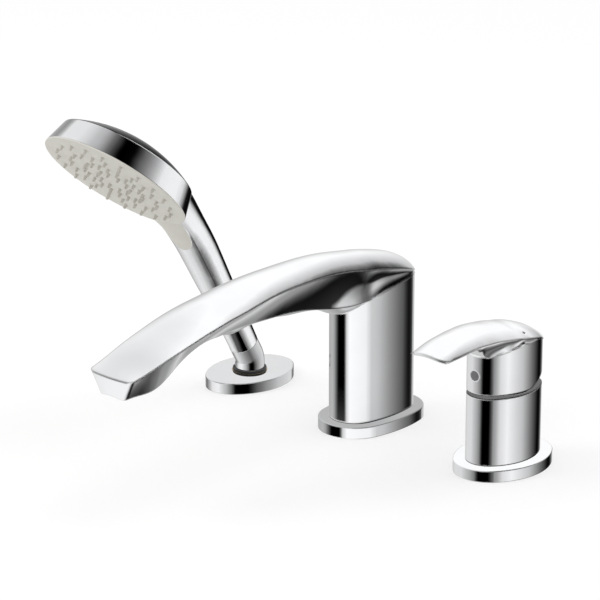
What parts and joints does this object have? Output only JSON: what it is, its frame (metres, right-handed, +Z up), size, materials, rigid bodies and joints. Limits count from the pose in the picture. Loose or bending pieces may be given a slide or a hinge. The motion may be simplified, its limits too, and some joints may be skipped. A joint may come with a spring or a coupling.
{
  "type": "bath shower mixer",
  "caption": "Deck-mounted bath and shower mixer in chrome: a tall arched spout, a single-lever mixer valve and a pull-out handshower with a round tilted spray head.",
  "frame": {"origin": "on the deck plane, at the axis of the spout's shank, under the spout's cover plate", "axes": "+Z up out of the deck, -Y to the front where the spout points, +X to the right where the mixer stands; the handshower is at -X"},
  "size_m": [0.322, 0.2881, 0.3112],
  "materials": {
    "chrome": "polished",
    "chrome_plastic": "chrome plated, polished",
    "brass": "turned",
    "steel": "satin",
    "copper": "drawn copper tube",
    "ceramic": "lapped ceramic",
    "black_rubber": "matt",
    "pale_rubber": "matt",
    "pale_plastic": "satin",
    "white_plastic": "matt",
    "black_plastic": "matt",
    "grey_plastic": "gloss",
    "index_mark": "filled dot"
  },
  "bodies": {
    "deck_set": {"spout_body": "chrome", "spout_plate": "chrome", "spout_gasket": "black_rubber", "spout_shank": "brass", "spout_shank_seal": "black_rubber", "spout_rubber_washer": "black_rubber", "spout_steel_washer": "steel", "spout_nut": "brass", "shower_branch": "brass", "aerator_housing": "chrome", "aerator_insert": "white_plastic", "aerator_seal": "black_rubber", "diverter_seat": "brass", "diverter_cage": "brass", "diverter_spring": "steel", "mixer_body": "chrome", "mixer_plate": "chrome", "mixer_gasket": "black_rubber", "mixer_shank": "brass", "mixer_rubber_washer": "black_rubber", "mixer_steel_washer": "steel", "mixer_nut": "brass", "hot_tail": "copper", "cold_tail": "copper", "outlet_tail": "copper", "cartridge_seal": "black_rubber", "cartridge_base": "white_plastic", "cartridge_housing": "white_plastic", "fixed_disc": "ceramic", "cartridge_nut": "brass", "cartridge_cover": "chrome", "holder_plate": "chrome", "holder_gasket": "black_rubber", "holder_shank": "brass", "holder_ring": "black_rubber", "holder_rubber_washer": "black_rubber", "holder_steel_washer": "steel", "holder_nut": "brass"},
    "diverter": {"diverter_spool": "white_plastic"},
    "turning_cartridge": {"cartridge_rotor": "white_plastic", "stem_pin": "steel"},
    "ceramic_slider": {"moving_disc": "ceramic", "disc_carrier": "white_plastic"},
    "lever": {"lever": "chrome", "lever_stem": "brass", "lever_grub_screw": "steel", "lever_screw_cap": "grey_plastic", "lever_index_dot": "index_mark"},
    "holder": {"holder_elbow": "chrome", "holder_liner": "black_plastic"},
    "handset": {"handset_body": "chrome_plastic", "tongue": "pale_plastic", "spray_face": "pale_plastic", "spray_nozzles": "pale_rubber", "nozzle_plate": "white_plastic", "spray_seal": "black_rubber", "handset_inlet": "brass", "handset_tube": "white_plastic", "filter_washer": "black_rubber"}
  },
  "joints": [
    {"name": "cartridge_turn", "type": "hinge", "parent": "deck_set", "child": "turning_cartridge", "pos_m": [0.12, 0, 0.049], "axis": [0, 0, 1], "range_deg": [-45, 45]},
    {"name": "lever_lift", "type": "hinge", "parent": "turning_cartridge", "child": "lever", "pos_m": [0.12, 0, 0.049], "axis": [-1, 0, 0], "range_deg": [0, 18]},
    {"name": "disc_slide", "type": "slide", "parent": "turning_cartridge", "child": "ceramic_slider", "axis": [0, -1, 0], "range_m": [0, 0.0042]},
    {"name": "holder_turn", "type": "hinge", "parent": "deck_set", "child": "holder", "pos_m": [-0.119, 0, 0], "axis": [0, 0, 1], "range_deg": [-45, 45]},
    {"name": "handset_pull", "type": "slide", "parent": "holder", "child": "handset", "axis": [0, -0.4848, 0.8746], "range_m": [0, 0.06]},
    {"name": "diverter_lift", "type": "slide", "parent": "deck_set", "child": "diverter", "axis": [0, 0, 1], "range_m": [0, 0.004], "stiffness_N_per_m": 40, "deforming": ["diverter_spring"]}
  ],
  "couplings": [
    {"joint": "disc_slide", "follows": "lever_lift", "m_per_rad": 0.0127}
  ]
}
